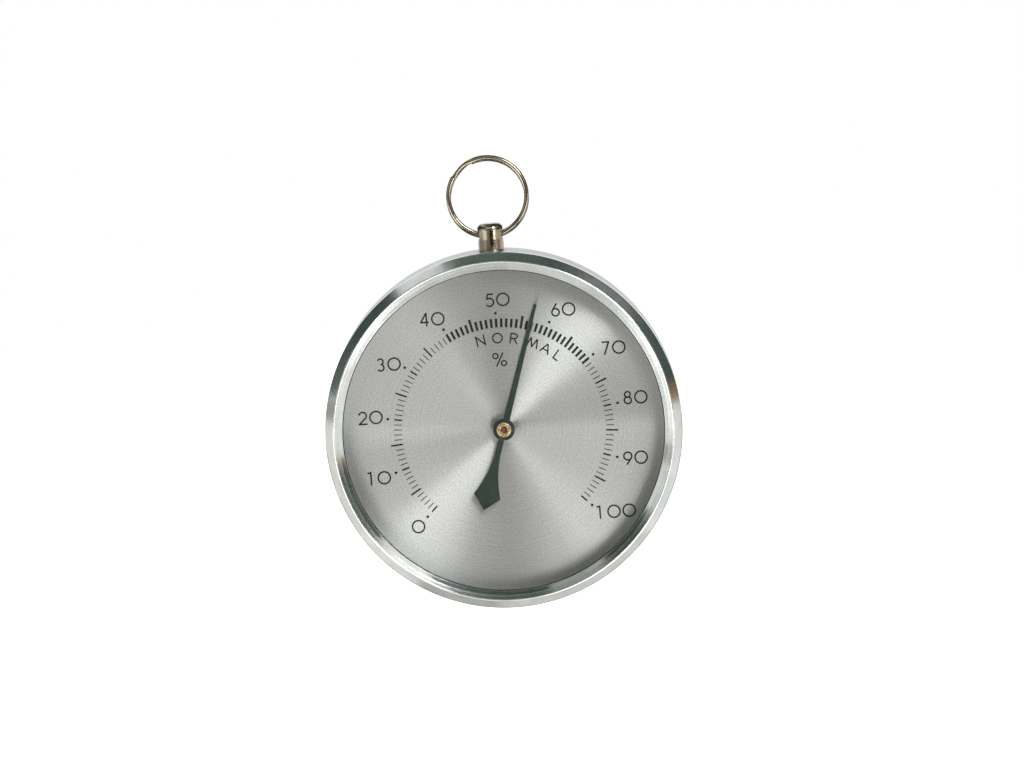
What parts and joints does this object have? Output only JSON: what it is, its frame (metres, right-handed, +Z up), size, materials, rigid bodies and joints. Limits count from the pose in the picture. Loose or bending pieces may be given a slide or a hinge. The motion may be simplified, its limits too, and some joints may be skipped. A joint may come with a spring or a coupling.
{
  "type": "hygrometer",
  "caption": "Round metal-cased hair hygrometer with a brushed dial, black pointer and flat glass, hung from a split ring on a short stem.",
  "frame": {"origin": "middle of the flat back face, on the case's axis, where it lies against the wall", "axes": "+Z up towards the hanging ring, -Y out of the dial towards the reader, +X to the reader's right"},
  "size_m": [0.102, 0.0229, 0.1289],
  "materials": {
    "cup_aluminium": "drawn and fine-turned",
    "bezel_aluminium": "turned and polished",
    "clear_glass": "polished",
    "gasket_rubber": "matte",
    "spacer_aluminium": "turned",
    "dial_aluminium": "circular brushed",
    "pointer_lacquer": "semi-gloss black",
    "brass": "turned",
    "steel": "turned",
    "plated_steel": "zinc plated",
    "nickel": "bright nickel plate",
    "spring_bronze": "drawn strip",
    "hair": "degreased hair"
  },
  "bodies": {
    "case": {"case_cup": "cup_aluminium", "bezel": "bezel_aluminium", "glass_gasket": "gasket_rubber", "glass": "clear_glass", "spacer_ring": "spacer_aluminium", "dial_plate": "dial_aluminium", "case_pillars": "brass", "pillar_screws": "plated_steel", "dial_standoffs": "brass", "movement_plate": "plated_steel", "rear_bridge": "plated_steel", "bridge_pillars": "brass", "bridge_screws": "steel", "front_bush": "brass", "rear_bush": "brass", "hairspring": "spring_bronze", "hairspring_stud": "brass", "hair_bundle": "hair", "roller_pin": "steel", "roller_clip": "plated_steel", "hanger_stem": "nickel", "stem_washer": "plated_steel", "stem_nut": "plated_steel"},
    "pointer_group": {"pointer": "pointer_lacquer", "pointer_bush": "brass", "spindle": "steel", "hairspring_collet": "brass"},
    "roller": {"guide_roller": "brass"},
    "adjuster": {"adjusting_arm": "plated_steel", "adjusting_stud": "steel", "friction_washer": "spring_bronze", "adjusting_clip": "plated_steel", "hair_ferrule": "brass"},
    "ring": {"hanging_ring": "nickel"}
  },
  "joints": [
    {"name": "ring_swing", "type": "hinge", "parent": "case", "child": "ring", "pos_m": [0, -0.006, 0.055], "axis": [1, 0, 0], "range_deg": [-110, 95]},
    {"name": "pointer_turn", "type": "hinge", "parent": "case", "child": "pointer_group", "pos_m": [0, -0.0165, 0], "axis": [0, 1, 0], "range_deg": [-153.09, 116.91], "stiffness_Nm_per_rad": 0.00005, "deforming": ["hairspring", "hair_bundle"]},
    {"name": "roller_turn", "type": "hinge", "parent": "case", "child": "roller", "pos_m": [-0.02, -0.008, 0.033], "axis": [0, 1, 0], "range_deg": [-43.8, 33.5]},
    {"name": "adjust_turn", "type": "hinge", "parent": "case", "child": "adjuster", "pos_m": [-0.01, -0.008, -0.038], "axis": [0, 1, 0], "range_deg": [-12, 12]}
  ],
  "couplings": [
    {"joint": "roller_turn", "follows": "pointer_turn", "ratio": 0.28571}
  ]
}
